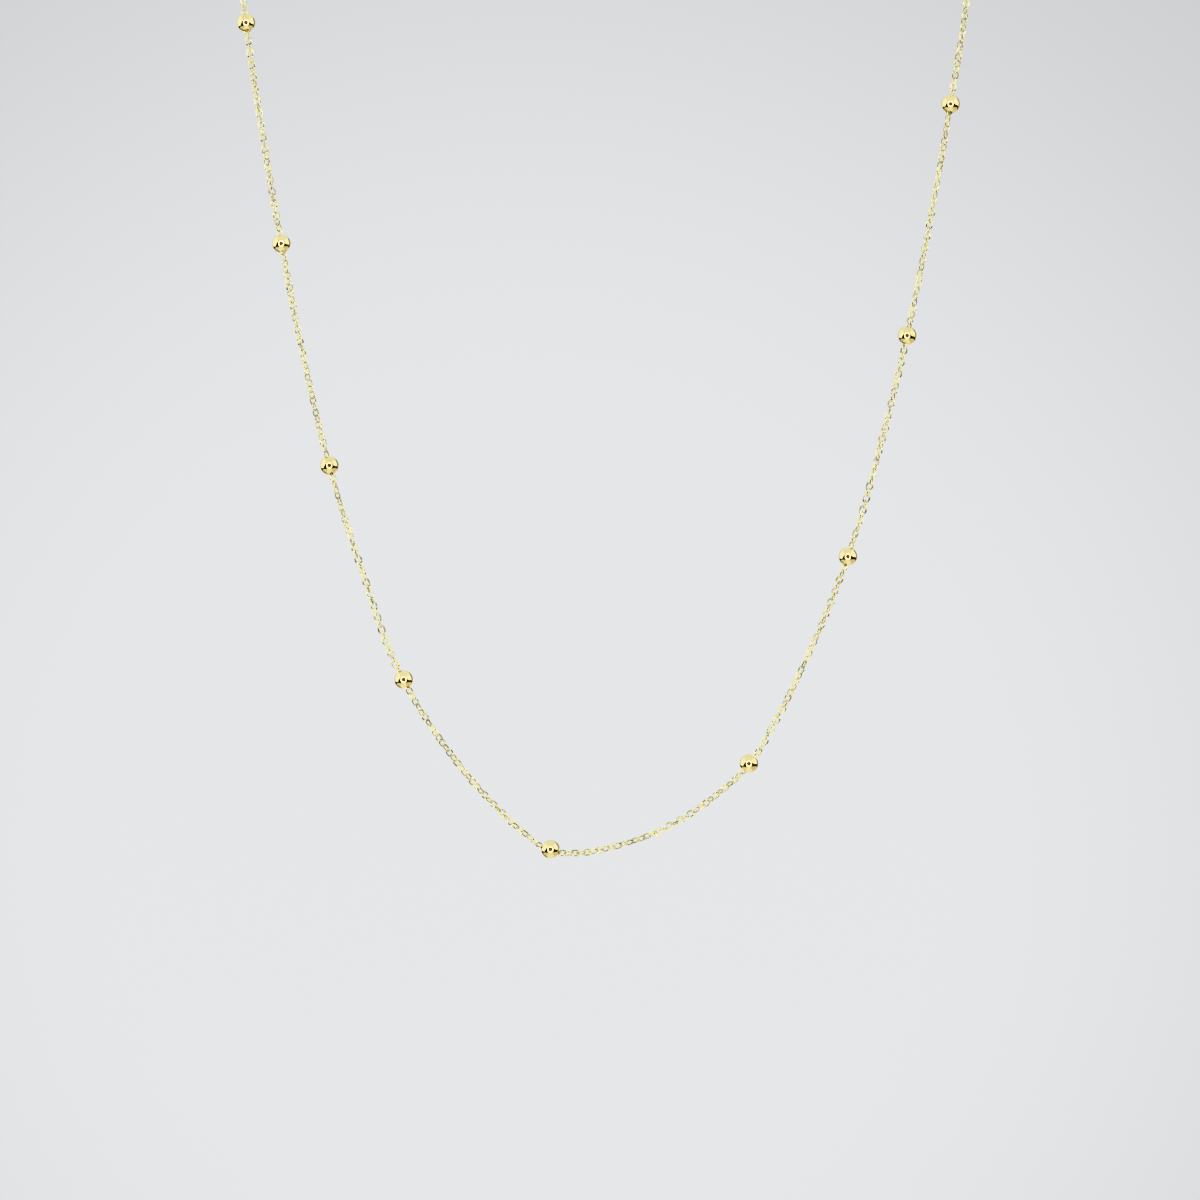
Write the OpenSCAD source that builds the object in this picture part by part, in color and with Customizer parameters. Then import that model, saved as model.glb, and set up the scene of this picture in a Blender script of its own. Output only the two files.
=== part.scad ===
// Station necklace: a fine cable chain that passes through small round beads at even stations and
// closes at the nape with a ring clasp and two jump rings. Millimetres, Z up, wearer facing -Y.
// The origin is the underside of the clasp, where the back of the neck carries the necklace.

/* [Chain] */
// Width of the chain, over its links
chain_w = 0.9; // [0.6:0.05:1.2]
// Wire of the larger link that ends the chain on each side
end_link_wire = 0.25; // [0.2:0.05:0.4]

/* [Beads] */
// Diameter of a bead
bead_d = 2.5; // [2:0.1:4]
// Gap between the chain and the wall of a bead's bore
bead_clear = 0.12; // [0.1:0.02:0.2]
// Straight chain beyond each end of a bead
bead_lead = 0.1; // [0.05:0.05:0.5]

/* [Clasp] */
// Outer diameter of the clasp's ring
clasp_d = 5.5; // [4.5:0.5:8]
// Thickness of the clasp's ring
clasp_wire = 1.1; // [0.8:0.1:1.3]
// Wire of the small eye soldered to the clasp
clasp_eye_wire = 0.5; // [0.4:0.05:0.7]
// Diameter of the thumb knob on the clasp
knob_d = 0.8; // [0.6:0.1:0.9]
// How far the thumb knob stands out of the ring
knob_out = 0.6; // [0.4:0.1:1]
// Place of the thumb knob round the ring, from the chain's line upwards
knob_angle = 55; // [40:5:75]

/* [Jump rings] */
// Wire of a jump ring
jump_ring_wire = 0.4; // [0.3:0.05:0.6]
// Least gap between two rings that hold each other
link_gap = 0.12; // [0.1:0.01:0.2]
// Spare room in a ring beside what passes through it
ring_play = 0.2; // [0.1:0.05:0.4]

/* [Hidden] */
$fn = 48;
chain_sides = 8;
// A ring of the tube is added halfway along a stretch of the route that is longer than this
ring_gap = 8;
// How far the wire of one soldered piece is sunk into the other
solder_sink = 0.15;
// Centre of the space that the loop goes round
LOOP_CENTRE = [0, -30, -60];
GOLD = [0.93, 0.80, 0.45];

// Route of the chain from the clasp down the left side, under the throat and up the right side.
// The columns are x, y, z and 1 where a bead stands. The two ends come from the clasp's sizes.
ROUTE_POINTS = [
    [-19.0, -3.8, 2.1, 0],
    [-31.2, -12.2, 0.4, 1],
    [-41.0, -23.6, -2.5, 0],
    [-47.8, -36.4, -7.2, 1],
    [-50.3, -47.6, -16.0, 0],
    [-48.6, -53.2, -30.7, 1],
    [-46.3, -54.1, -45.8, 0],
    [-43.7, -55.0, -60.8, 1],
    [-40.7, -55.9, -75.9, 0],
    [-37.1, -56.8, -90.9, 1],
    [-32.5, -57.7, -105.5, 0],
    [-27.0, -58.6, -119.8, 1],
    [-21.3, -59.1, -128.9, 0],
    [-15.4, -59.5, -136.0, 0],
    [-10.6, -59.8, -140.5, 0],
    [-7.2, -60.0, -142.6, 1],
    [-3.6, -60.0, -143.1, 0],
    [1.1, -59.9, -142.3, 0],
    [7.5, -59.8, -140.1, 0],
    [15.1, -59.5, -135.3, 0],
    [19.5, -59.3, -131.1, 1],
    [22.8, -58.9, -125.9, 0],
    [27.0, -58.4, -117.6, 0],
    [32.9, -57.6, -103.2, 1],
    [37.3, -56.7, -88.4, 0],
    [41.0, -55.8, -73.3, 1],
    [44.2, -54.8, -57.5, 0],
    [47.0, -53.9, -41.8, 1],
    [49.5, -52.2, -25.4, 0],
    [49.9, -45.2, -13.2, 1],
    [46.2, -32.4, -5.7, 0],
    [38.6, -19.8, -1.8, 1],
    [28.2, -9.5, 0.7, 0],
    [15.3, -2.4, 2.3, 1],
];

// Sizes of the rings, from what passes through each
nape_z = clasp_d / 2;
clasp_r = (clasp_d - clasp_wire) / 2;
clasp_eye_hole = jump_ring_wire + 2 * link_gap + ring_play;
clasp_eye_r = (clasp_eye_hole + clasp_eye_wire) / 2;
end_link_hole = jump_ring_wire + 2 * link_gap + ring_play;
end_link_r = (end_link_hole + end_link_wire) / 2;
jump_ring_hole = clasp_wire + end_link_wire + 2 * link_gap + ring_play;
jump_ring_r = (jump_ring_hole + jump_ring_wire) / 2;

// Places of the rings along X, each one pulled tight against the last but for the gap
clasp_eye_x = -(clasp_d / 2 + clasp_eye_r - solder_sink);
ring_left_x = clasp_eye_x - clasp_eye_hole / 2 + link_gap - jump_ring_hole / 2;
ring_right_x = clasp_d / 2 - clasp_wire - link_gap + jump_ring_hole / 2;
link_left_x = ring_left_x - jump_ring_hole / 2 + link_gap - end_link_hole / 2;
link_right_x = ring_right_x + jump_ring_hole / 2 - link_gap + end_link_hole / 2;
chain_left_x = link_left_x - end_link_r;
chain_right_x = link_right_x + end_link_r;

// The whole route, with the ends of the chain
ROUTE = concat([[chain_left_x, 0, nape_z, 0]], ROUTE_POINTS, [[chain_right_x, 0, nape_z, 0]]);
last = len(ROUTE) - 1;
BEADS = [for (i = [0:last]) if (ROUTE[i][3] == 1) i];

// The route is a smooth curve through its points. At each point it turns evenly between the
// two chords that meet there, and at the clasp it runs along X.
function unit(v) = v / norm(v);
function point(i) = [ROUTE[i][0], ROUTE[i][1], ROUTE[i][2]];
function chord(i) = norm(point(i + 1) - point(i));
function heading(i) = unit(point(i + 1) - point(i));
function tangent(i) =
    i == 0 || i == last ? [-1, 0, 0]
                        : unit(heading(i - 1) * chord(i) + heading(i) * chord(i - 1));

// Knots of the curve as pairs of centre and direction: one at a plain point, and two at a bead,
// so that the chain runs straight through its bore
half_run = bead_d / 2 + bead_lead;
function knots_at(i) =
    [for (s = ROUTE[i][3] == 1 ? [-half_run, half_run] : [0]) [point(i) + s * tangent(i), tangent(i)]];
KNOTS = [for (i = [0:last]) for (k = knots_at(i)) k];

// Middle of the cubic curve from knot a to knot b, with its direction
function middle(a, b) =
    let (step = b[0] - a[0], reach = norm(step))
    [(a[0] + b[0]) / 2 + reach / 8 * (a[1] - b[1]), unit(6 * step - reach * (a[1] + b[1]))];

// Rings of the tube: one at each knot, and one halfway along a long stretch
SPINE = [for (j = [0:len(KNOTS) - 1])
    for (r = j > 0 && norm(KNOTS[j][0] - KNOTS[j - 1][0]) > ring_gap
        ? [middle(KNOTS[j - 1], KNOTS[j]), KNOTS[j]]
        : [KNOTS[j]]) r];

// Corners of one ring of the tube, square to its direction
function tube_ring(centre, dir) =
    let (u = unit(cross(dir, LOOP_CENTRE - centre)), v = cross(u, dir))
    [for (k = [0:chain_sides - 1]) let (a = 360 * k / chain_sides)
        centre + chain_w / 2 * (cos(a) * u + sin(a) * v)];

// The side wall between two rings, and the flat ends
function tube_wall(rings) =
    [for (j = [0:rings - 2]) for (k = [0:chain_sides - 1])
        let (a = j * chain_sides + k, b = j * chain_sides + (k + 1) % chain_sides)
        [a, b, b + chain_sides, a + chain_sides]];
function tube_caps(rings) =
    [[for (k = [chain_sides - 1:-1:0]) k],
     [for (k = [0:chain_sides - 1]) (rings - 1) * chain_sides + k]];

// A wire ring round the axis Z
module wire_ring(r, wire) {
    rotate_extrude() translate([r, 0]) circle(d = wire);
}

// A wire ring that stands in the plane of X and Z, its centre at x on the chain's line
module upright_ring(x, r, wire) {
    translate([x, 0, nape_z]) rotate([90, 0, 0]) wire_ring(r, wire);
}

// The chain: a slim tube along the route, with the end links that the jump rings hold
module chain() {
    color(GOLD) {
        polyhedron(
            points = [for (r = SPINE) for (p = tube_ring(r[0], r[1])) p],
            faces = concat(tube_wall(len(SPINE)), tube_caps(len(SPINE))));
        upright_ring(link_left_x, end_link_r, end_link_wire);
        upright_ring(link_right_x, end_link_r, end_link_wire);
    }
}

// The clasp: one plain ring with a soldered eye and a thumb knob
module clasp() {
    color(GOLD) {
        upright_ring(0, clasp_r, clasp_wire);
        upright_ring(clasp_eye_x, clasp_eye_r, clasp_eye_wire);
        translate([0, 0, nape_z]) rotate([0, 90 - knob_angle, 0])
            translate([0, 0, clasp_r]) cylinder(d = knob_d, h = clasp_wire / 2 + knob_out);
    }
}

// The jump ring between the clasp's eye and the chain's left end
module jump_ring_left() {
    color(GOLD) translate([ring_left_x, 0, nape_z]) wire_ring(jump_ring_r, jump_ring_wire);
}

// The jump ring that the clasp closes on, on the chain's right end
module jump_ring_right() {
    color(GOLD) translate([ring_right_x, 0, nape_z]) wire_ring(jump_ring_r, jump_ring_wire);
}

// A round bead, drilled for the chain and threaded on it at a point of the route
module bead(i) {
    dir = tangent(i);
    bore_d = chain_w + 2 * bead_clear;
    color(GOLD) translate(point(i)) rotate([0, acos(dir[2]), atan2(dir[1], dir[0])]) difference() {
        sphere(d = bead_d);
        cylinder(d = bore_d, h = 2 * bead_d, center = true);
    }
}

function bead_name(n) = str("bead_", n < 9 ? "0" : "", n + 1);

chain();
clasp();
jump_ring_left();
jump_ring_right();
for (n = [0:len(BEADS) - 1]) bead(BEADS[n]);
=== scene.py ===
"""Station necklace: a fine cable chain with small round beads at even stations, closed at the nape.

Everything is in metres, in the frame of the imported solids: Z up, the front towards -Y, and the
origin at the underside of the clasp's ring.
"""
import logging
import math
from dataclasses import dataclass, field
from enum import Enum
from typing import Sequence

import bpy
import numpy as np
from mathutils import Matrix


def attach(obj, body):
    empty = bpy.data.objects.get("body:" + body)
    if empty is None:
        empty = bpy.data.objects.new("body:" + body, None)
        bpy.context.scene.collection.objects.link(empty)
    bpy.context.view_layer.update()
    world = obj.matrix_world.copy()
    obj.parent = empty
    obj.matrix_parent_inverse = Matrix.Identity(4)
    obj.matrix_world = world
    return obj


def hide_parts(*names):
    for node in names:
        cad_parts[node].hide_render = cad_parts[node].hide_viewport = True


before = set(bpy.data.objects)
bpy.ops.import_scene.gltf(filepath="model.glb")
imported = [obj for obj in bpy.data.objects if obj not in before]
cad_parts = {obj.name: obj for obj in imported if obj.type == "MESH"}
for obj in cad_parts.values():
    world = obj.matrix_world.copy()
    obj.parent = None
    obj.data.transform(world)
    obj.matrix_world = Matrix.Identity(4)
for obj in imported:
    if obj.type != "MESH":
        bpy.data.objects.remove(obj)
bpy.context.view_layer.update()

BODY = "root"
LOG = logging.getLogger("station_necklace")

Colour = tuple[float, float, float]
Vector3 = tuple[float, float, float]
Span = tuple[float, float]
Edge = tuple[Span, ...]
Steps = tuple[int, int]
Socket = bpy.types.NodeSocket

# Route of the chain from the clasp down the left side, across the front and up the right side:
# x, y and z in metres, and 1 where a bead stands. The two ends come from the clasp's sizes.
ROUTE_POINTS: tuple[tuple[float, float, float, int], ...] = (
    (-0.0190, -0.0038, 0.0021, 0),
    (-0.0312, -0.0122, 0.0004, 1),
    (-0.0410, -0.0236, -0.0025, 0),
    (-0.0478, -0.0364, -0.0072, 1),
    (-0.0503, -0.0476, -0.0160, 0),
    (-0.0486, -0.0532, -0.0307, 1),
    (-0.0463, -0.0541, -0.0458, 0),
    (-0.0437, -0.0550, -0.0608, 1),
    (-0.0407, -0.0559, -0.0759, 0),
    (-0.0371, -0.0568, -0.0909, 1),
    (-0.0325, -0.0577, -0.1055, 0),
    (-0.0270, -0.0586, -0.1198, 1),
    (-0.0213, -0.0591, -0.1289, 0),
    (-0.0154, -0.0595, -0.1360, 0),
    (-0.0106, -0.0598, -0.1405, 0),
    (-0.0072, -0.0600, -0.1426, 1),
    (-0.0036, -0.0600, -0.1431, 0),
    (0.0011, -0.0599, -0.1423, 0),
    (0.0075, -0.0598, -0.1401, 0),
    (0.0151, -0.0595, -0.1353, 0),
    (0.0195, -0.0593, -0.1311, 1),
    (0.0228, -0.0589, -0.1259, 0),
    (0.0270, -0.0584, -0.1176, 0),
    (0.0329, -0.0576, -0.1032, 1),
    (0.0373, -0.0567, -0.0884, 0),
    (0.0410, -0.0558, -0.0733, 1),
    (0.0442, -0.0548, -0.0575, 0),
    (0.0470, -0.0539, -0.0418, 1),
    (0.0495, -0.0522, -0.0254, 0),
    (0.0499, -0.0452, -0.0132, 1),
    (0.0462, -0.0324, -0.0057, 0),
    (0.0386, -0.0198, -0.0018, 1),
    (0.0282, -0.0095, 0.0007, 0),
    (0.0153, -0.0024, 0.0023, 1),
)
# Centre of the space that the loop goes round
LOOP_CENTRE = np.array([0.0, -0.030, -0.060])
# Directions square to X in which the plane of a ring stands
UPRIGHT, LEVEL = (0.0, 0.0, 1.0), (0.0, 1.0, 0.0)
# Tone of a surface that has none of its own
PLAIN_TONE = 0.5
# Share of an axis that lies along Z, from which the axis counts as upright
STEEP = 0.9


class Polish(Enum):
    """How a metal surface was finished, which sets the fine marks on it."""

    TUMBLED = "tumbled"
    DRAWN = "drawn"
    BUFFED = "buffed"


# Surfaces


def unit(vectors: np.ndarray) -> np.ndarray:
    """Vectors scaled to length one."""
    return vectors / np.linalg.norm(vectors, axis=-1, keepdims=True)


def strides(points: np.ndarray) -> np.ndarray:
    """Distance from each point to the next."""
    return np.linalg.norm(np.diff(points, axis=0), axis=1)


@dataclass
class Patch:
    """One or more closed surfaces: their points, faces, the UV of each face corner and a tone.

    The faces are arrays of point numbers, one row for each face. The normals at the points are
    set only for a coarse surface that has to shade as the true one.
    """

    points: np.ndarray
    faces: list[np.ndarray]
    uv: np.ndarray
    tone: np.ndarray
    normals: np.ndarray | None = None


def grid_patch(grid: np.ndarray, size_u: float, size_v: float, closed_rows: bool = True,
               tones: np.ndarray | None = None) -> Patch:
    """Turns grids of points into closed surfaces.

    Point (i, j) of a grid is joined to (i+1, j), (i+1, j+1) and (i, j+1). Columns always close
    on themselves. Rows close on themselves too, or else end in a flat cap at each side. The
    faces are turned outwards by the sign of the volume that they hold.

    Args:
        grid: points with shape (shells, rows, columns, 3).
        size_u: length of a surface along its rows, for the UV map.
        size_v: length round its columns, for the UV map.
        closed_rows: whether the last row joins the first.
        tones: one value per shell that its material may read.

    Returns:
        The surfaces as one patch.
    """
    shells, rows, columns = grid.shape[:3]
    index = np.arange(shells * rows * columns).reshape(shells, rows, columns)
    below = np.roll(index, -1, axis=1)
    quads = np.stack([index, below, np.roll(below, -1, axis=2), np.roll(index, -1, axis=2)], -1)
    i, j = np.meshgrid(np.arange(rows), np.arange(columns), indexing="ij")
    corners_u = np.stack([i, i + 1, i + 1, i], -1) * (size_u / rows)
    corners_v = np.stack([j, j, j + 1, j + 1], -1) * (size_v / columns)
    uv = np.broadcast_to(np.stack([corners_u, corners_v], -1), (shells, rows, columns, 4, 2))
    if not closed_rows:
        quads, uv = quads[:, :-1], uv[:, :-1]
    quads, uv = quads.reshape(-1, 4), uv.reshape(-1, 4, 2)
    points = grid.reshape(-1, 3)
    a, b, c, d = (points[quads[:, k]] - points.mean(0) for k in range(4))
    outward = (np.einsum("ij,ij->i", a, np.cross(b, c) + np.cross(c, d))).sum() > 0
    if not outward:
        quads, uv = quads[:, ::-1], uv[:, ::-1]
    faces, uv = [quads], uv.reshape(-1, 2)
    if not closed_rows:
        caps = np.stack([index[:, 0], index[:, -1, ::-1]], 1).reshape(-1, columns)
        faces.append(caps if outward else caps[:, ::-1])
        uv = np.vstack([uv, np.zeros((caps.size, 2))])
    if tones is None:
        tones = np.full(shells, PLAIN_TONE)
    return Patch(points, faces, uv, np.repeat(tones, rows * columns))


# The sloped faces of bevelled wire: their edges as shares of its width and its thickness, and how
# much of the painted shade at the inner edge the outer edge gets
FACE_OUTER, FACE_INNER = (0.36, 0.24), (-0.2, 0.5)
OUTER_SHADE_SHARE = 0.6


@dataclass(frozen=True)
class WireSection:
    """Cross-section of the wire of a ring.

    Its points are (p, q) from the middle of the wire, p away from the ring's centre and q along
    the ring's axis. Each point has the angle of its normal, from p towards q, and a polish, which is
    a painted shade: a fall in the tone that darkens the gold there. Where rings differ, the angles
    and the polish have a row for each.
    """

    points: np.ndarray
    angles: np.ndarray
    polish: np.ndarray

    @classmethod
    def round(cls, wire: float, columns: int) -> "WireSection":
        """Round wire: (p, q) = wire/2 (cos f, sin f), with its normal at f."""
        turn = 2 * np.pi * (np.arange(columns) + 0.5) / columns
        return cls(wire / 2 * np.stack([np.cos(turn), np.sin(turn)], -1), turn, np.zeros(columns))

    @classmethod
    def bevelled(cls, wide: float, thick: float, inner: np.ndarray, outer: np.ndarray,
                 painted_shade: np.ndarray) -> "WireSection":
        """Wire whose two faces slope down to the outside of the ring, with round rims.

        Its six points are the rims at (+-wide/2, 0), and the outer and inner edges of the faces
        at FACE_OUTER and FACE_INNER times (wide, +-thick). From one edge of a face to the other,
        its normal turns outwards from the inner lean to the outer lean.

        Args:
            wide: reach across the rims.
            thick: reach across the faces.
            inner: for each ring the lean at the inner edges, in radians from the ring's axis.
            outer: for each ring the lean at the outer edges.
            painted_shade: for each ring how much painted shade darkens the inner edges of the faces.
            Their outer edges get OUTER_SHADE_SHARE of that.

        Returns:
            The section.
        """
        edges = np.array([FACE_OUTER, FACE_INNER]) * (wide, thick)
        points = np.vstack([[[wide / 2, 0]], edges, [[-wide / 2, 0]], edges[::-1] * (1, -1)])
        zero = np.zeros_like(inner)
        face = np.pi / 2 - np.stack([outer, inner], -1)
        angles = np.column_stack([zero, face, zero + np.pi, -face[:, ::-1]])
        # Painted shade: the share of it at each point, darkest at the faces' inner edges
        shade_shares = (0.0, OUTER_SHADE_SHARE, 1.0, 0.0, 1.0, OUTER_SHADE_SHARE)
        return cls(points, angles, -np.outer(painted_shade, shade_shares))


def wire_rings(centres: np.ndarray, across: np.ndarray, up: np.ndarray, reach: Sequence[float],
               section: WireSection, rows: int, squareness: float = 2.0,
               tones: np.ndarray | None = None) -> Patch:
    """Makes closed rings of wire, each in its own plane.

    The middle of the wire follows the superellipse |x/a|^n + |y/b|^n = 1, taken at
    x = a sgn(cos t) |cos t / c|^(2/n) and y = b sgn(sin t) |sin t|^(2/n), where c is the cosine of
    half a step, so that the flat at each end lies at a. Its outward normal is along
    (sgn(x) |x/a|^(n-1) / a, sgn(y) |y/b|^(n-1) / b). A point (p, q) of the section lies p along
    that normal and q along the ring's own axis. The section's polish, which is painted shade, is
    added to the tone on the two sides of the ring, as the square of the normal's y, so the gold is
    painted darker there.

    Args:
        centres: ring centres, shape (k, 3).
        across: unit direction of x for each ring, shape (k, 3).
        up: unit direction of y for each ring, shape (k, 3).
        reach: a and b, from the centre to the middle of the wire.
        section: cross-section of the wire.
        rows: steps along the ring.
        squareness: n, which is 2 for a plain ellipse or circle.
        tones: one value per ring for its material.

    Returns:
        All the rings as one patch.
    """
    a, b = reach
    t = 2 * np.pi * (np.arange(rows) + 0.5) / rows
    x = np.sign(np.cos(t)) * np.abs(np.cos(t) / math.cos(math.pi / rows)) ** (2 / squareness)
    y = np.sign(np.sin(t)) * np.abs(np.sin(t)) ** (2 / squareness)
    way = unit(np.stack([np.sign(x) * np.abs(x) ** (squareness - 1) / a,
                         np.sign(y) * np.abs(y) ** (squareness - 1) / b], -1))
    spine = np.stack([a * x, b * y], -1)
    basis = np.stack([across, up, np.cross(across, up)], 1)
    away, along = section.points.T
    local = np.concatenate([spine[:, None] + way[:, None] * away[:, None],
                            np.broadcast_to(along[:, None], (rows, len(along), 1))], -1)
    grid = centres[:, None, None] + np.einsum("rcj,kji->krci", local, basis)
    tilt, lift, polish = (np.broadcast_to(v, (len(centres), len(along)))[:, None] for v in (
        np.cos(section.angles), np.sin(section.angles), section.polish))
    outward = np.stack([way[:, :1] * tilt, way[:, 1:] * tilt,
                        np.broadcast_to(lift, tilt.shape[:1] + (rows,) + tilt.shape[2:])], -1)
    normals = np.einsum("krcj,kji->krci", outward, basis)
    length = float(strides(spine).sum())
    girth = float(strides(section.points[np.arange(-1, len(along))]).sum())
    patch = grid_patch(grid, length * rows / (rows - 1), girth, tones=tones)
    # The polish is painted shade: it darkens the tone on the two sides of the ring
    patch.tone = patch.tone + (way[:, 1:] ** 2 * polish).ravel()
    patch.normals = normals.reshape(-1, 3)
    return patch


def round_ring(x: float, z: float, up: Vector3, radius: float, wire: float, steps: Steps) -> Patch:
    """Makes one ring of round wire.

    Args:
        x: where its centre lies along X.
        z: the height of its centre.
        up: the direction in its plane that is square to X.
        radius: from its centre to the middle of the wire.
        wire: thickness of the wire.
        steps: steps along the ring and round the wire.

    Returns:
        The ring.
    """
    return wire_rings(np.array([[x, 0.0, z]]), np.array([[1.0, 0.0, 0.0]]), np.array([up]),
                      (radius, radius), WireSection.round(wire, steps[1]), steps[0])


def turned(profile: np.ndarray, centre: Sequence[float], axis: Sequence[float], columns: int,
           closed: bool) -> Patch:
    """A profile turned round an axis.

    A profile point (s, r) becomes centre + s axis + r (cos t e + sin t f), where e and f are
    square to the axis.

    Args:
        profile: points (s, r), along the axis and away from it.
        centre: where s is 0.
        axis: direction of the axis.
        columns: steps round the axis.
        closed: whether the profile is a closed loop. If not, its ends are capped.

    Returns:
        The turned surface.
    """
    direction = unit(np.array(axis, float))
    e = unit(np.cross(direction, UPRIGHT if abs(direction[2]) < STEEP else (1.0, 0.0, 0.0)))
    f = np.cross(direction, e)
    t = 2 * np.pi * np.arange(columns) / columns
    ring = np.cos(t)[:, None] * e + np.sin(t)[:, None] * f
    grid = (np.array(centre, float) + profile[:, None, :1] * direction
            + profile[:, None, 1:] * ring)[None]
    length = float(strides(profile).sum())
    return grid_patch(grid, length, 2 * np.pi * float(profile[:, 1].max()), closed)


def smooth_object(name: str, points: np.ndarray, faces: list[list[int]]) -> bpy.types.Object:
    """Adds a smooth mesh object to the scene, at the origin.

    Args:
        name: name of the object and of its mesh.
        points: the mesh's points, shape (n, 3).
        faces: for each face the numbers of its points.

    Returns:
        The object.
    """
    mesh = bpy.data.meshes.new(name)
    mesh.from_pydata(points.tolist(), [], faces)
    mesh.polygons.foreach_set("use_smooth", np.ones(len(mesh.polygons), bool))
    made = bpy.data.objects.new(name, mesh)
    bpy.context.scene.collection.objects.link(made)
    return made


def make_piece(name: str, patches: Sequence[Patch]) -> bpy.types.Object:
    """Joins patches into one smooth mesh object that stands at the origin.

    Args:
        name: name of the object.
        patches: its closed surfaces.

    Returns:
        The new object, with a UV map and a point attribute called tone.
    """
    starts = np.cumsum([0] + [len(p.points) for p in patches])
    faces = [face for p, start in zip(patches, starts) for block in p.faces
             for face in (block + start).tolist()]
    piece = smooth_object(name, np.vstack([p.points for p in patches]), faces)
    mesh = piece.data
    mesh.uv_layers.new(name="UVMap").data.foreach_set(
        "uv", np.vstack([p.uv for p in patches]).astype(np.float32).ravel())
    mesh.attributes.new("tone", "FLOAT", "POINT").data.foreach_set(
        "value", np.concatenate([p.tone for p in patches]).astype(np.float32))
    mesh.update()
    if all(p.normals is not None for p in patches):
        mesh.normals_split_custom_set_from_vertices(np.vstack([p.normals for p in patches]).tolist())
    return piece


# Materials


class Shader:
    """Adds nodes to one new material and joins them."""

    def __init__(self, name: str) -> None:
        """Starts an empty material.

        Args:
            name: name of the material.
        """
        self.material = bpy.data.materials.new(name)
        self.material.use_nodes = True
        self.tree = self.material.node_tree
        self.tree.nodes.clear()

    def add(self, kind: str, inputs: dict[str | int, object] | None = None,
            **settings: object) -> bpy.types.Node:
        """Adds a node.

        Args:
            kind: the node's type name without its ShaderNode prefix.
            inputs: for each socket a plain value, or the output socket to join it to.
            settings: the node's own properties.

        Returns:
            The node.
        """
        node = self.tree.nodes.new("ShaderNode" + kind)
        for key, value in settings.items():
            setattr(node, key, value)
        for key, value in (inputs or {}).items():
            if isinstance(value, Socket):
                self.tree.links.new(value, node.inputs[key])
            else:
                node.inputs[key].default_value = value
        return node

    def spread(self, value: Socket, span: Span, result: Span = (0.0, 1.0),
               **settings: object) -> Socket:
        """Carries a value from one span to another.

        Args:
            value: the value.
            span: the ends of its span.
            result: what it becomes at them, and beyond them too.
            settings: the node's own properties.

        Returns:
            The new value.
        """
        inputs = zip(("Value", 1, 2, 3, 4), (value, *span, *result))
        return self.add("MapRange", dict(inputs), **settings).outputs[0]

    def ramp(self, factor: Socket, stops: Sequence[tuple[float, Colour]]) -> Socket:
        """Turns a factor into a colour.

        Args:
            factor: the factor, from 0 to 1.
            stops: positions on it, each with its colour.

        Returns:
            The colour, blended between the stops.
        """
        node = self.add("ValToRGB", {"Fac": factor})
        elements = node.color_ramp.elements
        while len(elements) < len(stops):
            elements.new(0.5)
        for element, (position, colour) in zip(elements, stops):
            element.position = position
            element.color = (*colour, 1.0)
        return node.outputs["Color"]


# Scale of the fine marks along each axis. A share below 1 draws them out that way
MARK_SHARES: dict[Polish, Vector3] = {
    Polish.TUMBLED: (1.0, 1.0, 1.0),
    Polish.DRAWN: (0.12, 1.0, 1.0),
    Polish.BUFFED: (1.0, 0.3, 1.0),
}
# What a tone adds to the clouds, and the sums at which the gold is deep and at which it is light
TONE_SHARE = 0.35
DEEP_AT, LIGHT_AT = 0.42, 0.88
# Values of the marks between which the roughness rises
MARK_SPAN = (0.3, 0.7)


@dataclass(frozen=True)
class GoldFinish:
    """Polished pale yellow gold, with the marks that its making left.

    The colour drifts in slow clouds between two tones, and each link or ring has a tone of its
    own. On the chain the tone also carries painted shade, which darkens the links' faces towards
    the deep colour. Fine marks raise the surface a little and change its roughness. Below them
    lies a slow ripple, which bends the reflections.
    """

    name: str
    light: Colour
    deep: Colour
    roughness: Span
    polish: Polish
    cloud: float
    mark: float
    mark_depth: float
    ripple: float
    ripple_depth: float

    def coordinates(self, shader: Shader) -> Socket:
        """Where the fine marks are read: in space, or along the wire on its UV map.

        Args:
            shader: the material that is being made.

        Returns:
            A vector with one unit for each mark.
        """
        place = shader.add("TexCoord")
        source = place.outputs["Object" if self.polish is Polish.TUMBLED else "UV"]
        scale = tuple(share / self.mark for share in MARK_SHARES[self.polish])
        return shader.add("Mapping", {"Vector": source, "Scale": scale}).outputs["Vector"]

    def build(self) -> bpy.types.Material:
        """Makes the material.

        Returns:
            The material, from nodes alone.
        """
        shader = Shader(self.name)
        place = shader.add("TexCoord").outputs["Object"]
        clouds = shader.add("TexNoise", {"Vector": place, "Scale": 1 / self.cloud, "Detail": 3.0})
        tone = shader.add("Attribute", attribute_name="tone")
        drift = shader.add("Math", {0: tone.outputs["Fac"], 1: TONE_SHARE, 2: clouds.outputs[0]},
                           operation="MULTIPLY_ADD")
        colour = shader.ramp(drift.outputs[0], ((DEEP_AT, self.deep), (LIGHT_AT, self.light)))
        marks = shader.add("TexNoise", {"Vector": self.coordinates(shader), "Scale": 1.0,
                                        "Detail": 4.0, "Roughness": 0.6})
        rough = shader.spread(marks.outputs[0], MARK_SPAN, self.roughness)
        ripple = shader.add("TexNoise", {"Vector": place, "Scale": 1 / self.ripple, "Detail": 1.0})
        waves = shader.add("Bump", {"Strength": 1.0, "Distance": self.ripple_depth,
                                    "Height": ripple.outputs[0]})
        relief = shader.add("Bump", {"Strength": 1.0, "Distance": self.mark_depth,
                                     "Height": marks.outputs[0], "Normal": waves.outputs[0]})
        metal = shader.add("BsdfPrincipled", {"Base Color": colour, "Metallic": 1.0,
                                              "Roughness": rough, "Normal": relief.outputs[0]})
        shader.add("OutputMaterial", {"Surface": metal.outputs[0]})
        return shader.material


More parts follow.
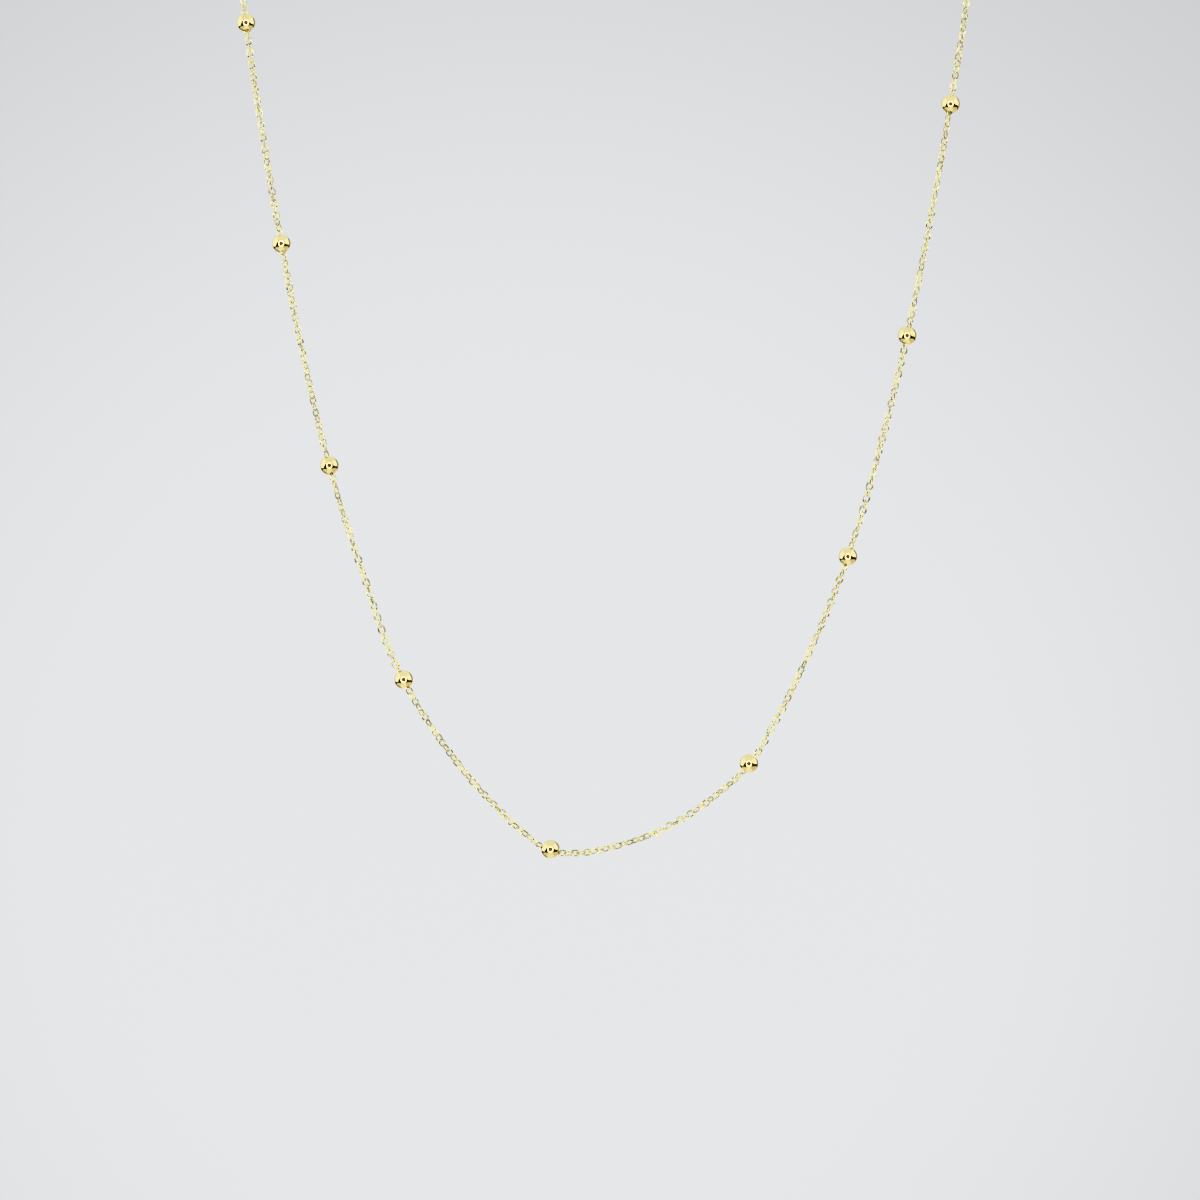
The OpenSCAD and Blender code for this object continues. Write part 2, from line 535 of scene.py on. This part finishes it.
BEAD_GOLD = GoldFinish("bead_gold", light=(0.94, 0.83, 0.43), deep=(0.88, 0.76, 0.35),
                       roughness=(0.02, 0.06), polish=Polish.TUMBLED, cloud=0.0012, mark=0.00009,
                       mark_depth=0.0000002, ripple=0.0009, ripple_depth=0.000003)
# The chain's near-black deep colour is what the painted shade on its links' faces darkens to
CHAIN_GOLD = GoldFinish("chain_gold", light=(0.98, 0.905, 0.42), deep=(0.20, 0.17, 0.065),
                        roughness=(0.05, 0.11), polish=Polish.DRAWN, cloud=0.0008, mark=0.00004,
                        mark_depth=0.0000006, ripple=0.0005, ripple_depth=0.000006)
CLASP_GOLD = GoldFinish("clasp_gold", light=(0.94, 0.82, 0.42), deep=(0.87, 0.75, 0.34),
                        roughness=(0.04, 0.10), polish=Polish.BUFFED, cloud=0.0015, mark=0.00006,
                        mark_depth=0.0000004, ripple=0.0012, ripple_depth=0.000008)


def settle(piece: bpy.types.Object, material: bpy.types.Material, node: str) -> None:
    """Dresses a piece and puts it in place of its solid.

    Args:
        piece: the finished mesh object.
        material: what the piece is made of.
        node: the solid that it stands for.
    """
    piece.data.materials.append(material)
    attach(piece, BODY)
    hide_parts(node)
    LOG.info("%s: %d faces for %s", piece.name, len(piece.data.polygons), node)


# Sizes that pieces share


@dataclass
class NapeRings:
    """Sizes and places of the clasp, its eye, the jump rings and the end links, as in the solids."""

    clasp_d: float = 0.0055
    clasp_wire: float = 0.0011
    eye_wire: float = 0.0005
    knob_d: float = 0.0008
    knob_out: float = 0.0006
    knob_angle: float = 55.0
    jump_wire: float = 0.0004
    end_link_wire: float = 0.00025
    link_gap: float = 0.00012
    ring_play: float = 0.0002
    solder_sink: float = 0.00015
    clasp_r: float = field(init=False)
    eye_r: float = field(init=False)
    jump_r: float = field(init=False)
    end_link_r: float = field(init=False)
    eye_x: float = field(init=False)
    jump_left_x: float = field(init=False)
    jump_right_x: float = field(init=False)
    link_left_x: float = field(init=False)
    link_right_x: float = field(init=False)

    def __post_init__(self) -> None:
        """Works out each ring's radius from what passes through it, and then its place along X."""
        small_hole = self.jump_wire + 2 * self.link_gap + self.ring_play
        jump_hole = self.clasp_wire + self.end_link_wire + 2 * self.link_gap + self.ring_play
        self.clasp_r = (self.clasp_d - self.clasp_wire) / 2
        self.eye_r = (small_hole + self.eye_wire) / 2
        self.end_link_r = (small_hole + self.end_link_wire) / 2
        self.jump_r = (jump_hole + self.jump_wire) / 2
        self.eye_x = -(self.clasp_d / 2 + self.eye_r - self.solder_sink)
        self.jump_left_x = self.eye_x - small_hole / 2 + self.link_gap - jump_hole / 2
        self.jump_right_x = self.clasp_d / 2 - self.clasp_wire - self.link_gap + jump_hole / 2
        self.link_left_x = self.jump_left_x - jump_hole / 2 + self.link_gap - small_hole / 2
        self.link_right_x = self.jump_right_x + jump_hole / 2 - self.link_gap + small_hole / 2

    @property
    def nape_z(self) -> float:
        """Height of the chain's line at the nape."""
        return self.clasp_d / 2


@dataclass
class Route:
    """The smooth line that the chain follows, through the middle of every bead."""

    nape: NapeRings
    bead_d: float = 0.0025
    bead_lead: float = 0.0001
    steps: int = 48
    points: np.ndarray = field(init=False)
    has_bead: np.ndarray = field(init=False)
    tangents: np.ndarray = field(init=False)

    def __post_init__(self) -> None:
        """Puts the two ends to the listed points and finds the direction at each."""
        z = self.nape.nape_z
        left = (self.nape.link_left_x - self.nape.end_link_r, 0.0, z, 0)
        right = (self.nape.link_right_x + self.nape.end_link_r, 0.0, z, 0)
        rows = np.array([left, *ROUTE_POINTS, right], float)
        self.points, self.has_bead = rows[:, :3], rows[:, 3] == 1
        lengths = strides(self.points)[:, None]
        headings = np.diff(self.points, axis=0) / lengths
        self.tangents = np.zeros_like(self.points)
        self.tangents[[0, -1]] = (-1.0, 0.0, 0.0)
        self.tangents[1:-1] = unit(headings[:-1] * lengths[1:] + headings[1:] * lengths[:-1])

    def knots(self) -> tuple[np.ndarray, np.ndarray]:
        """Knots of the curve: one at a plain point, and two at a bead, where it runs straight.

        Returns:
            The knots and the unit directions at them.
        """
        half_run = np.where(self.has_bead, self.bead_d / 2 + self.bead_lead, 0.0)[:, None]
        pairs = np.stack([self.points - half_run * self.tangents,
                          self.points + half_run * self.tangents], 1)
        keep = np.stack([np.ones(len(self.points), bool), self.has_bead], 1)
        return pairs[keep], np.repeat(self.tangents, keep.sum(1), axis=0)

    def line(self, lead: float) -> tuple[np.ndarray, np.ndarray]:
        """The curve as close points.

        Between knots P and Q at distance L, with unit directions p and q, the cubic is
        (2s^3-3s^2+1) P + (s^3-2s^2+s) L p + (3s^2-2s^3) Q + (s^3-s^2) L q.

        Args:
            lead: straight length added before the first knot and after the last.

        Returns:
            The points and the distance of each along the line.
        """
        knots, ways = self.knots()
        reach = strides(knots)[:, None, None]
        s = (np.arange(self.steps) / self.steps)[None, :, None]
        curve = ((2 * s**3 - 3 * s**2 + 1) * knots[:-1, None] + (3 * s**2 - 2 * s**3) * knots[1:, None]
                 + reach * ((s**3 - 2 * s**2 + s) * ways[:-1, None] + (s**3 - s**2) * ways[1:, None]))
        points = np.vstack([knots[:1] - lead * ways[:1], curve.reshape(-1, 3), knots[-1:],
                            knots[-1:] + lead * ways[-1:]])
        return points, np.r_[0.0, np.cumsum(strides(points))]


# Sub-assemblies


@dataclass
class CableChain:
    """The chain: small round-oval links, each through the next, and a larger link at each end."""

    route: Route
    nape: NapeRings
    finish: GoldFinish = CHAIN_GOLD
    wire: float = 0.00021
    thick: float = 0.00017
    inner_lean: float = math.radians(16)
    outer_lean: float = math.radians(35)
    uneven_lean: float = math.radians(5)
    # Range of the painted shade that darkens each link's faces, drawn for each link at random
    painted_shade: Span = (0.0, 1.9)
    tones: Span = (0.82, 1.18)
    width: float = 0.00106
    pitch: float = 0.00083
    hook_play: float = 0.00002
    squareness: float = 2.2
    rows: int = 12
    lean: float = math.radians(80)
    wander: float = math.radians(15)
    jitter: float = math.radians(7)
    waves: tuple[float, ...] = (0.013, 0.029, 0.053, 0.118)
    fade_links: int = 12
    end_steps: Steps = (40, 14)
    seed: int = 171

    def joints(self) -> np.ndarray:
        """Points on the route where one link passes into the next, at even steps.

        The number of links is odd, so that the first and the last stand alike in their end links.

        Returns:
            One more point than there are links.
        """
        points, along = self.route.line((self.nape.end_link_wire + self.hook_play) / 2)
        links = 2 * int(along[-1] / self.pitch / 2) + 1
        at = np.linspace(0.0, along[-1], links + 1)
        return np.stack([np.interp(at, along, points[:, k]) for k in range(3)], -1)

    def rolls(self, way: np.ndarray, u: np.ndarray, v: np.ndarray) -> np.ndarray:
        """How far each link is turned round the chain's line.

        Every second link is turned by 90 degrees. To that come a steady lean, slow waves, which
        are the twist of a chain that hangs freely, and a small turn of the link's own. They fade
        out at the ends, where the links lie level in the end links.

        Args:
            way: direction of the chain at each link.
            u: first direction square to it.
            v: second direction square to it.

        Returns:
            One angle in radians for each link.
        """
        count = len(way)
        random = np.random.default_rng(self.seed)
        at = np.arange(count) * self.pitch
        waves = np.array(self.waves)[:, None]
        phases = random.uniform(0, 2 * np.pi, waves.shape)
        twist = self.lean + self.wander * np.sin(2 * np.pi * at / waves + phases).sum(0)
        twist += random.normal(0.0, self.jitter, count)
        from_end = np.minimum(np.arange(count), count - 1 - np.arange(count))
        fade = np.clip(from_end / self.fade_links, 0, 1)
        level = np.arctan2(v[:, 1], u[:, 1])
        base = np.linspace(level[0], level[-1], count)
        return base + np.pi / 2 * (np.arange(count) % 2) + fade * twist

    def links(self) -> Patch:
        """The small links, each as long as its step and the two hooks at its ends.

        Returns:
            All of them as one patch.
        """
        joints = self.joints()
        centre, way = (joints[1:] + joints[:-1]) / 2, unit(np.diff(joints, axis=0))
        u = unit(np.cross(way, LOOP_CENTRE - centre))
        v = np.cross(u, way)
        roll = self.rolls(way, u, v)[:, None]
        length = strides(joints).mean() + self.wire + self.hook_play
        reach = (length / 2, (self.width - self.wire) / 2)
        random = np.random.default_rng(self.seed + 1)
        tones = random.uniform(*self.tones, len(centre))
        uneven = random.uniform(-self.uneven_lean, self.uneven_lean, len(centre))
        # Each link gets a random amount of painted shade on its faces
        painted_shade = random.uniform(*self.painted_shade, len(centre))
        section = WireSection.bevelled(self.wire, self.thick, self.inner_lean + uneven,
                                       self.outer_lean + uneven, painted_shade)
        return wire_rings(centre, way, np.cos(roll) * u + np.sin(roll) * v, reach, section,
                          self.rows, self.squareness, tones)

    def end_link(self, x: float) -> Patch:
        """A larger round link that a jump ring holds, with its centre at x."""
        return round_ring(x, self.nape.nape_z, UPRIGHT, self.nape.end_link_r,
                          self.nape.end_link_wire, self.end_steps)

    def build(self) -> bpy.types.Object:
        """Makes the chain's mesh.

        Returns:
            The small links and both end links as one piece.
        """
        ends = [self.end_link(x) for x in (self.nape.link_left_x, self.nape.link_right_x)]
        return make_piece("cable_chain", [self.links(), *ends])

    def dress(self, piece: bpy.types.Object) -> None:
        """Gives the chain its gold and puts it in place of its solid."""
        settle(piece, self.finish.build(), "chain")


@dataclass
class StationBeads:
    """The round polished beads, drilled and threaded on the chain."""

    route: Route
    finish: GoldFinish = BEAD_GOLD
    diameter: float = 0.0025
    bore: float = 0.00114
    lip: float = 0.00003
    dent: float = 0.000002
    dent_count: int = 3
    dent_waves: float = 2.2
    tones: Span = (0.3, 0.7)
    ball_steps: int = 40
    lip_steps: int = 5
    bore_steps: int = 8
    columns: int = 72
    seed: int = 5

    def profile(self) -> np.ndarray:
        """Outline of the drilled ball as (s, r): ball, rolled lip, straight bore, rolled lip.

        The lip is an arc of radius f that touches the ball of radius R from inside and the bore
        of radius b from outside, so its centre is at r = b + f and s = sqrt((R-f)^2 - (b+f)^2).

        Returns:
            The closed outline's points.
        """
        ball, bore, lip = self.diameter / 2, self.bore / 2, self.lip
        lip_r = bore + lip
        lip_s = math.sqrt((ball - lip) ** 2 - lip_r**2)
        touch = math.atan2(lip_r, lip_s)
        over = np.linspace(touch, np.pi - touch, self.ball_steps)
        roll = np.linspace(-np.pi / 2, touch, self.lip_steps, endpoint=False)
        through = np.linspace(-lip_s, lip_s, self.bore_steps)[1:-1]
        right = np.stack([lip_s + lip * np.cos(roll), lip_r + lip * np.sin(roll)], -1)
        left = right[::-1] * (-1.0, 1.0)
        return np.vstack([right, np.stack([ball * np.cos(over), ball * np.sin(over)], -1), left,
                          np.stack([through, np.full_like(through, bore)], -1)])

    def uneven(self, patch: Patch, centre: np.ndarray, random: np.random.Generator) -> None:
        """Moves the points of a bead in or out by a few microns, as polishing leaves a ball.

        The move is a sum of plane waves of the point's direction from the centre.

        Args:
            patch: the bead's surface, which is changed.
            centre: middle of the bead.
            random: source of the waves' directions and phases.
        """
        away = unit(patch.points - centre)
        waves = random.normal(0.0, self.dent_waves, (self.dent_count, 3))
        phases = random.uniform(0, 2 * np.pi, self.dent_count)
        move = self.dent * np.sin(away @ waves.T + phases).sum(1, keepdims=True)
        patch.points = patch.points + away * move

    def build(self) -> list[bpy.types.Object]:
        """Makes one mesh for each bead.

        Returns:
            The beads in their order along the chain.
        """
        random = np.random.default_rng(self.seed)
        profile = self.profile()
        pieces = []
        stations = self.route.has_bead
        where = zip(self.route.points[stations], self.route.tangents[stations])
        for number, (centre, axis) in enumerate(where, 1):
            patch = turned(profile, centre, axis, self.columns, closed=True)
            self.uneven(patch, centre, random)
            patch.tone = np.full(len(patch.points), random.uniform(*self.tones))
            pieces.append(make_piece(f"station_bead_{number:02d}", [patch]))
        return pieces

    def dress(self, pieces: Sequence[bpy.types.Object]) -> None:
        """Gives the beads their gold and puts each in place of its solid.

        Args:
            pieces: the beads in their order along the chain.
        """
        material = self.finish.build()
        for number, piece in enumerate(pieces, 1):
            settle(piece, material, f"bead_{number:02d}")


@dataclass
class RingClasp:
    """The clasp: one plain ring with a soldered eye and a thumb knob."""

    nape: NapeRings
    finish: GoldFinish = CLASP_GOLD
    knob_round: float = 0.00014
    knob_dome: float = 0.00003
    knob_foot: float = 0.00002
    solder_small: float = 0.00017
    solder_large: float = 0.00038
    solder_out: float = 0.00005
    solder_length: float = 0.00022
    solder_flare: float = 0.4
    cap_r: float = 0.00002
    ring_steps: Steps = (120, 36)
    eye_steps: Steps = (56, 22)
    bend_steps: int = 10
    dome_steps: int = 8
    knob_columns: int = 40
    solder_steps: int = 24
    solder_columns: int = 32

    def knob(self) -> Patch:
        """The thumb knob: a short pin with a rounded head, out of the ring's wire.

        Its profile is a straight side of radius K, then a quarter circle of radius f, and then a
        dome that rises as 1 - (r / (K - f))^2. Small flat caps close it on the axis.

        Returns:
            The knob's surface.
        """
        nape, f, foot = self.nape, self.knob_round, self.knob_foot
        side, top = nape.knob_d / 2, nape.clasp_wire / 2 + nape.knob_out
        bend = np.linspace(0, np.pi / 2, self.bend_steps)
        dome_r = np.linspace(side - f, self.cap_r, self.dome_steps)[1:]
        profile = np.vstack([
            [[0.0, self.cap_r], [0.0, side - foot], [foot, side], [2 * foot, side]],
            np.stack([top - self.knob_dome - f + f * np.sin(bend), side - f + f * np.cos(bend)], -1),
            np.stack([top - self.knob_dome * (dome_r / (side - f)) ** 2, dome_r], -1)])
        angle = math.radians(nape.knob_angle)
        way = np.array([math.cos(angle), 0.0, math.sin(angle)])
        middle = np.array([0.0, 0.0, nape.nape_z]) + nape.clasp_r * way
        return turned(profile, middle, way, self.knob_columns, closed=False)

    def solder(self) -> Patch:
        """The solder that flares from the eye's wire to the ring's.

        Its radius is a + (b - a)((1 - c) s + c s^2), where s goes from 0 on the eye to 1 inside
        the ring, a and b are its small and large radius, and c is the flare. Small flat caps
        close it on the axis.

        Returns:
            The solder's surface.
        """
        s = np.linspace(0, 1, self.solder_steps)
        share = (1 - self.solder_flare) * s + self.solder_flare * s**2
        radius = self.solder_small + (self.solder_large - self.solder_small) * share
        profile = np.vstack([[[0.0, self.cap_r]], np.stack([self.solder_length * s, radius], -1),
                             [[self.solder_length, self.cap_r]]])
        start = -self.nape.clasp_d / 2 - self.solder_out
        return turned(profile, (start, 0.0, self.nape.nape_z), (1, 0, 0), self.solder_columns,
                      closed=False)

    def build(self) -> bpy.types.Object:
        """Makes the clasp's mesh.

        Returns:
            The ring, its eye, their solder and the knob as one piece.
        """
        nape, z = self.nape, self.nape.nape_z
        ring = round_ring(0.0, z, UPRIGHT, nape.clasp_r, nape.clasp_wire, self.ring_steps)
        eye = round_ring(nape.eye_x, z, UPRIGHT, nape.eye_r, nape.eye_wire, self.eye_steps)
        return make_piece("ring_clasp", [ring, eye, self.solder(), self.knob()])

    def dress(self, piece: bpy.types.Object) -> None:
        """Gives the clasp its gold and puts it in place of its solid."""
        settle(piece, self.finish.build(), "clasp")


@dataclass
class JumpRings:
    """The two round rings that join the chain's ends to the clasp."""

    nape: NapeRings
    finish: GoldFinish = CLASP_GOLD
    steps: Steps = (72, 20)

    def build(self) -> dict[str, bpy.types.Object]:
        """Makes one ring on each side.

        Returns:
            For the name of each solid, the ring that stands for it.
        """
        nape = self.nape
        places = {"jump_ring_left": nape.jump_left_x, "jump_ring_right": nape.jump_right_x}
        rings = {node: round_ring(x, nape.nape_z, LEVEL, nape.jump_r, nape.jump_wire, self.steps)
                 for node, x in places.items()}
        return {node: make_piece(f"{node}_wire", [ring]) for node, ring in rings.items()}

    def dress(self, pieces: dict[str, bpy.types.Object]) -> None:
        """Gives the rings their gold and puts each in place of its solid.

        Args:
            pieces: for the name of each solid, the ring that stands for it.
        """
        material = self.finish.build()
        for node, piece in pieces.items():
            settle(piece, material, node)


# Studio


@dataclass(frozen=True)
class Glow:
    """An even surface of the studio: one that gives off light, or a dark one that hardly does."""

    name: str
    colour: Colour
    strength: float

    def build(self) -> bpy.types.Material:
        """Makes the material.

        Returns:
            A light that is the same all over.
        """
        shader = Shader(self.name)
        light = shader.add("Emission", {"Color": (*self.colour, 1.0), "Strength": self.strength})
        shader.add("OutputMaterial", {"Surface": light.outputs[0]})
        return shader.material


@dataclass(frozen=True)
class TentGlow:
    """Pale cloth of the light tent, brightest low down, above, and in a pool behind the necklace."""

    name: str = "tent_cloth"
    tint: Colour = (0.990, 1.0, 1.019)
    bottom: float = -0.90
    top: float = 1.60
    heights: Edge = ((-0.90, 1.06), (-0.55, 0.855), (0.30, 0.840),
                     (0.80, 0.88), (1.60, 0.96))
    pool: Vector3 = (-0.05, 2.6, -0.25)
    shade_in: Span = (0.26, 0.85)
    shade_out: Span = (1.0, 1.9)
    shade: float = 0.25

    def build(self) -> bpy.types.Material:
        """Makes the material.

        The light at a point is h(z) (1 - c p q), where h follows the height, c is the shade, p
        rises with the distance from the pool over shade_in, and q falls over shade_out.

        Returns:
            A light that is even but for those slow changes.
        """
        shader = Shader(self.name)
        place = shader.add("TexCoord").outputs["Object"]
        height = shader.add("SeparateXYZ", {"Vector": place}).outputs["Z"]
        rise = shader.spread(height, (self.bottom, self.top))
        span = self.top - self.bottom
        colour = shader.ramp(rise, [((z - self.bottom) / span, tuple(value * c for c in self.tint))
                                    for z, value in self.heights])
        away = shader.add("VectorMath", {0: place, 1: self.pool}, operation="DISTANCE").outputs[1]
        near = shader.spread(away, self.shade_in, interpolation_type="SMOOTHSTEP")
        far = shader.spread(away, self.shade_out, (1.0, 0.0), interpolation_type="SMOOTHSTEP")
        both = shader.add("Math", {0: near, 1: far}, operation="MULTIPLY").outputs[0]
        level = shader.add("Math", {0: both, 1: -self.shade, 2: 1.0}, operation="MULTIPLY_ADD")
        light = shader.add("Emission", {"Color": colour, "Strength": level.outputs[0]})
        shader.add("OutputMaterial", {"Surface": light.outputs[0]})
        return shader.material


@dataclass(frozen=True)
class Card:
    """A curved card or soft box that stands round the necklace and that the camera doesn't see.

    Its edges are lists of places as seen from the necklace, each a turn in degrees from the
    camera's side towards +X, and a rise above the horizon.
    """

    name: str
    glow: Glow
    radius: float
    lower: Edge
    upper: Edge
    along: int = 33
    across: int = 9

    def grid(self, middle: Vector3) -> np.ndarray:
        """Points of the card.

        Both edges are read at even steps and joined by straight steps of turn t and rise e. A
        point is radius (sin t cos e, -cos t cos e, sin e) from the middle.

        Args:
            middle: where the necklace hangs.

        Returns:
            Points with shape (along, across, 3).
        """
        steps = np.linspace(0, len(self.lower) - 1, self.along)
        low, high = (np.radians(np.stack([np.interp(steps, range(len(edge)), column)
                                          for column in zip(*edge)], -1))
                     for edge in (self.lower, self.upper))
        share = np.linspace(0, 1, self.across)[None, :, None]
        t, e = np.moveaxis(low[:, None] * (1 - share) + high[:, None] * share, -1, 0)
        return np.array(middle) + self.radius * np.stack(
            [np.sin(t) * np.cos(e), -np.cos(t) * np.cos(e), np.sin(e)], -1)


DARK = Glow("dark_card", (0.020, 0.015, 0.010), 1.0)
# The camera body glows faintly: painted light that stands for its lit dark surface as the beads
# reflect it
CAMERA_BODY = Glow("camera_body", (0.17, 0.155, 0.15), 1.0)
SOFT_BOX = Glow("soft_box", (0.96, 0.98, 1.0), 1.88)
SHADE = Glow("shade_card", (0.36, 0.335, 0.24), 1.0)
LOW_BOUNCE_LEFT = Glow("low_bounce_left", (0.80, 0.76, 0.66), 1.0)
LOW_BOUNCE_RIGHT = Glow("low_bounce_right", (0.76, 0.68, 0.53), 1.0)
CARDS = (
    Card("soft_box_left", SOFT_BOX, 0.86,
         ((-42, 24), (-60, -3), (-84, -24), (-106, -19), (-120, -16)),
         ((-40, 34), (-63, 42), (-88, 48), (-106, 50), (-120, 50))),
    Card("soft_box_right", SOFT_BOX, 0.86,
         ((46, 6), (60, -2), (76, -6), (98, -6), (114, -5)),
         ((45, 38), (62, 44), (76, 46), (98, 48), (114, 48))),
    Card("dark_skirt_left", DARK, 0.89,
         ((-34, -46), (-56, -42), (-80, -35), (-124, -28), (-150, -21)),
         ((-34, 38), (-60, 32), (-89, 10), (-124, -10), (-150, -12))),
    Card("dark_skirt_right", DARK, 0.89,
         ((34, -42), (44, -37), (74, -31), (110, -23), (150, -18)),
         ((34, 26), (44, 24), (74, 12), (110, 0), (150, 0))),
    Card("shade_right", SHADE, 0.875,
         ((114, -12), (140, -10), (165, -8)),
         ((114, 36), (140, 31), (165, 30))),
    Card("shade_left", SHADE, 0.90,
         ((-118, -60), (-142, -55), (-165, -50)),
         ((-118, -20), (-142, -16), (-165, -14))),
    Card("low_bounce_left", LOW_BOUNCE_LEFT, 0.91,
         ((-36, -62), (-70, -62), (-110, -62), (-150, -62)),
         ((-42, -38), (-70, -34), (-110, -27), (-150, -18))),
    Card("low_bounce_right", LOW_BOUNCE_RIGHT, 0.91,
         ((36, -62), (70, -62), (110, -62), (150, -62)),
         ((42, -34), (70, -28), (110, -20), (150, -15))),
)


@dataclass
class Studio:
    """The camera, the pale floor and tent, the lights and the dark cards round the necklace."""

    camera_at: Vector3 = (-0.00054, -0.7565, -0.10908)
    lens: float = 155.4
    sensor: float = 36.0
    middle: Vector3 = (-0.0005, -0.0565, -0.075)
    floor_z: float = -0.90
    floor_r: float = 2.20
    cove_r: float = 0.40
    wall_top: float = 1.60
    dome: float = 0.5
    ring_y: float = -0.80
    ring_inner: float = 0.395
    ring_outer: float = 0.572
    ring_glow: Glow = Glow("ring_light", (0.97, 0.98, 1.0), 7.0)
    body_behind: float = 0.02
    body_share: float = 1.1
    hole: float = 0.001
    columns: int = 96
    floor_rows: int = 12
    bend_rows: int = 24
    disc_rows: int = 6

    def camera(self) -> None:
        """Makes the camera at the photograph's viewing angle."""
        data = bpy.data.cameras.new("camera")
        data.lens, data.sensor_width = self.lens, self.sensor
        camera = bpy.data.objects.new("camera", data)
        camera.location = self.camera_at
        camera.rotation_euler = (math.pi / 2, 0.0, 0.0)
        bpy.context.scene.collection.objects.link(camera)
        bpy.context.scene.camera = camera

    def surface(self, name: str, grid: np.ndarray, closed: bool, material: bpy.types.Material,
                seen: bool) -> None:
        """Adds a surface of the studio.

        Args:
            name: name of the object.
            grid: its points, shape (rows, columns, 3).
            closed: whether the last column joins the first.
            material: its material.
            seen: whether the camera sees it. A card that it doesn't see is still reflected.
        """
        index = np.arange(grid.shape[0] * grid.shape[1]).reshape(grid.shape[:2])
        beside = np.roll(index, -1, axis=1)
        quads = np.stack([index[:-1], index[1:], beside[1:], beside[:-1]], -1)
        quads = quads if closed else quads[:, :-1]
        made = smooth_object(name, grid.reshape(-1, 3), quads.reshape(-1, 4).tolist())
        made.data.materials.append(material)
        made.visible_camera = seen

    def turns(self) -> np.ndarray:
        """Even angles round a full turn, one for each column."""
        return 2 * np.pi * np.arange(self.columns) / self.columns

    def tent(self) -> None:
        """The floor, the cove that joins it to the wall, and the domed top as one surface.

        The profile (r, z) is a flat floor, a quarter circle, a straight wall and a quarter
        ellipse that closes above. It is turned round the Z axis, and a tiny hole is left on it.
        """
        bend = np.linspace(0, np.pi / 2, self.bend_rows)
        wall_r, hole = self.floor_r + self.cove_r, 2 * self.hole
        floor = np.stack([np.linspace(hole, self.floor_r, self.floor_rows),
                          np.full(self.floor_rows, self.floor_z)], -1)
        cove = np.stack([self.floor_r + self.cove_r * np.sin(bend),
                         self.floor_z + self.cove_r * (1 - np.cos(bend))], -1)
        top = np.stack([wall_r * np.cos(bend) + hole,
                        self.wall_top + wall_r * self.dome * np.sin(bend)], -1)
        profile = np.vstack([floor, cove[1:], top])
        t = self.turns()
        grid = np.stack([profile[:, :1] * np.cos(t), profile[:, :1] * np.sin(t),
                         np.repeat(profile[:, 1:], self.columns, 1)], -1)
        self.surface("tent", grid, True, TentGlow().build(), True)

    def disc(self, glow: Glow, y: float, inner: float, outer: float) -> None:
        """A flat disc or annulus round the line from the camera, facing the necklace.

        Its points are r (cos t, sin t) from that line, in a plane of constant y.

        Args:
            glow: its material, which gives it its name.
            y: where it stands.
            inner: inner radius.
            outer: outer radius.
        """
        t = self.turns()
        r = np.linspace(max(inner, self.hole), outer, self.disc_rows)[:, None]
        x, z = self.camera_at[0] + r * np.cos(t), self.camera_at[2] + r * np.sin(t)
        grid = np.stack([x, np.full_like(x, y), z], -1)
        self.surface(glow.name, grid, True, glow.build(), False)

    def build(self) -> None:
        """Makes the whole studio."""
        bpy.context.scene.view_settings.view_transform = "Khronos PBR Neutral"
        self.camera()
        self.tent()
        self.disc(self.ring_glow, self.ring_y, self.ring_inner, self.ring_outer)
        self.disc(CAMERA_BODY, self.ring_y - self.body_behind, 0.0,
                  self.ring_inner * self.body_share)
        made = {card.glow: card.glow.build() for card in CARDS}
        for card in CARDS:
            self.surface(card.name, card.grid(self.middle), False, made[card.glow], False)
        LOG.info("studio: %d cards, lens %.1f mm", len(CARDS), self.lens)


def main() -> None:
    """Builds the studio and the necklace."""
    logging.basicConfig(level=logging.INFO, format="%(name)s: %(message)s")
    Studio().build()
    nape = NapeRings()
    route = Route(nape)
    for assembly in (CableChain(route, nape), StationBeads(route), RingClasp(nape), JumpRings(nape)):
        assembly.dress(assembly.build())


if __name__ == "__main__":
    main()
